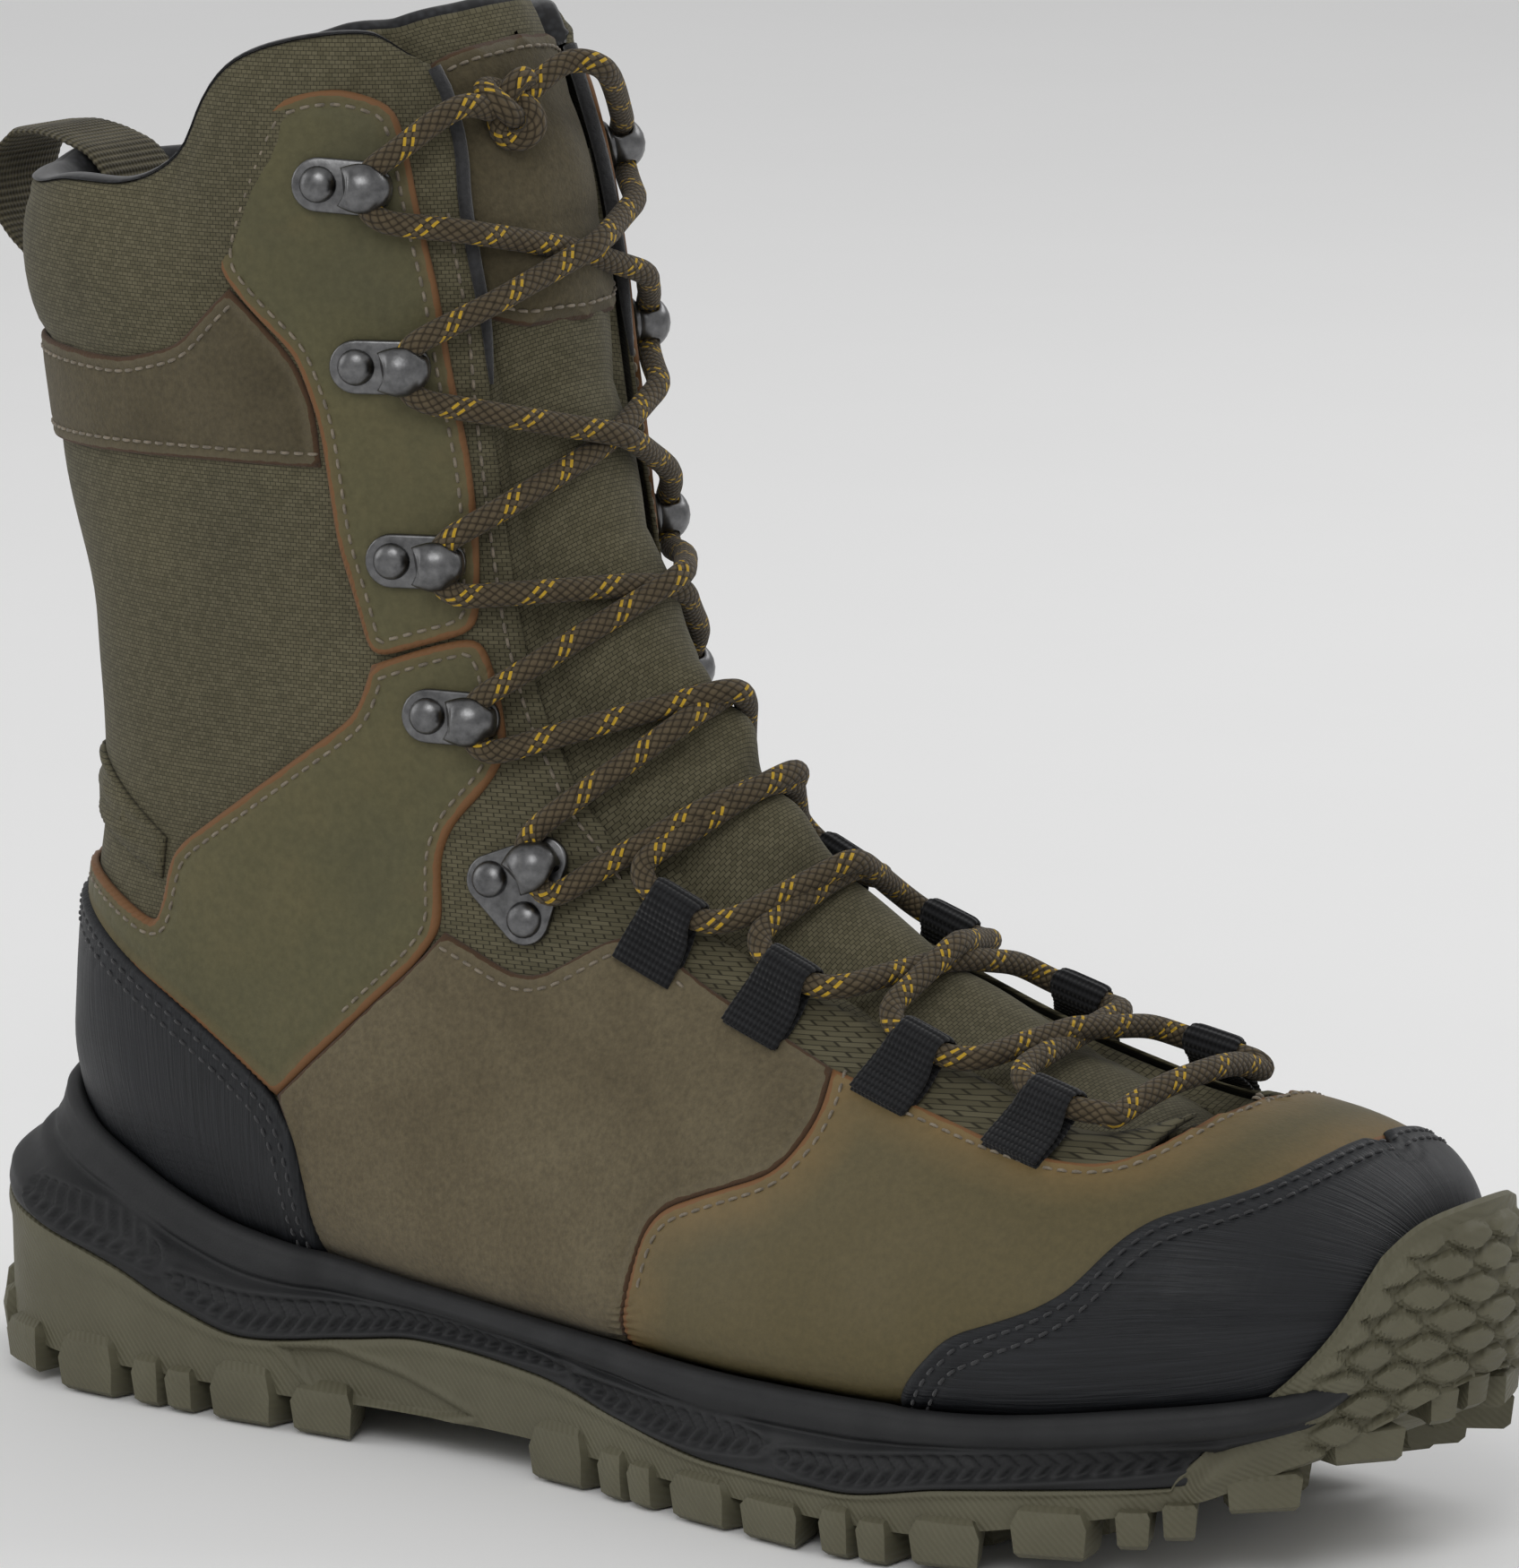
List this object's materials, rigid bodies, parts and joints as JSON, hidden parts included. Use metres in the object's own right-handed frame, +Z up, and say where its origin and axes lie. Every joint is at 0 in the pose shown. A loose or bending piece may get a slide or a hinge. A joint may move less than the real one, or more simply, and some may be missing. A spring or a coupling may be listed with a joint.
{
  "type": "insulated lace-up hunting boot",
  "caption": "Tall insulated lace-up boot, right foot, with a cloth and leather upper, hooked lacing, rubber toe and heel caps and a lugged rubber sole.",
  "frame": {"origin": "on the floor under the middle of the boot's bounding box", "axes": "+X to the toe, +Y to the inner side of the foot, +Z up the leg"},
  "size_m": [0.3218, 0.106, 0.2622],
  "materials": {
    "cordura": "matt woven nylon",
    "suede": "napped suede",
    "nubuck": "waxed nubuck, rubbed to ochre at the edges",
    "black_rubber": "moulded, finely grooved",
    "tread_rubber": "moulded, matt",
    "mesh_lining": "knitted mesh",
    "fleece": "brushed felt",
    "foam": "open-cell foam under a felt top",
    "fibre_board": "pressed fibre",
    "steel": "rolled",
    "gunmetal": "dark plated and polished",
    "black_webbing": "ribbed webbing",
    "khaki_webbing": "ribbed webbing",
    "lace_cord": "round braid with light flecks"
  },
  "bodies": {
    "boot": {"upper_shell": "cordura", "rear_flex_panel": "cordura", "suede_band": "suede", "quarter_lateral": "suede", "quarter_medial": "suede", "vamp": "nubuck", "eyestay_lateral": "nubuck", "eyestay_medial": "nubuck", "ankle_panel_lateral": "nubuck", "ankle_panel_medial": "nubuck", "toe_cap": "black_rubber", "heel_cap": "black_rubber", "midsole": "black_rubber", "outsole": "tread_rubber", "lining": "mesh_lining", "insulation": "fleece", "collar_foam": "foam", "heel_counter": "fibre_board", "toe_puff": "fibre_board", "lasting_board": "fibre_board", "shank": "steel", "hook_1_lateral": "gunmetal", "rivet_hook_1_lateral": "gunmetal", "lace_loop_1_lateral": "black_webbing", "hook_2_lateral": "gunmetal", "rivet_hook_2_lateral": "gunmetal", "lace_loop_2_lateral": "black_webbing", "hook_3_lateral": "gunmetal", "rivet_hook_3_lateral": "gunmetal", "lace_loop_3_lateral": "black_webbing", "hook_4_lateral": "gunmetal", "rivet_hook_4_lateral": "gunmetal", "lace_loop_4_lateral": "black_webbing", "lock_hook_lateral": "gunmetal", "rivet_lock_hook_lateral_1": "gunmetal", "rivet_lock_hook_lateral_2": "gunmetal", "hook_1_medial": "gunmetal", "rivet_hook_1_medial": "gunmetal", "lace_loop_1_medial": "black_webbing", "hook_2_medial": "gunmetal", "rivet_hook_2_medial": "gunmetal", "lace_loop_2_medial": "black_webbing", "hook_3_medial": "gunmetal", "rivet_hook_3_medial": "gunmetal", "lace_loop_3_medial": "black_webbing", "hook_4_medial": "gunmetal", "rivet_hook_4_medial": "gunmetal", "lace_loop_4_medial": "black_webbing", "lock_hook_medial": "gunmetal", "rivet_lock_hook_medial_1": "gunmetal", "rivet_lock_hook_medial_2": "gunmetal", "lace": "lace_cord", "lace_knot": "lace_cord", "pull_loop_inner_end": "khaki_webbing", "pull_loop_outer_end": "khaki_webbing"},
    "tongue_body": {"tongue": "cordura", "tongue_patch": "suede"},
    "footbed_body": {"footbed": "foam"},
    "pull_loop_body": {"pull_loop": "khaki_webbing"}
  },
  "joints": [
    {"name": "tongue_fold", "type": "hinge", "parent": "boot", "child": "tongue_body", "pos_m": [0.11034, 0.00277, 0.072], "axis": [0, 1, 0], "range_deg": [-6, 0]},
    {"name": "footbed_lift", "type": "hinge", "parent": "boot", "child": "footbed_body", "pos_m": [0.13834, 0.00277, 0.033], "axis": [0, 1, 0], "range_deg": [0, 5]},
    {"name": "pull_loop_swing", "type": "hinge", "parent": "boot", "child": "pull_loop_body", "pos_m": [-0.14466, 0.00277, 0.217], "axis": [0, 1, 0], "range_deg": [-12, 12]}
  ]
}
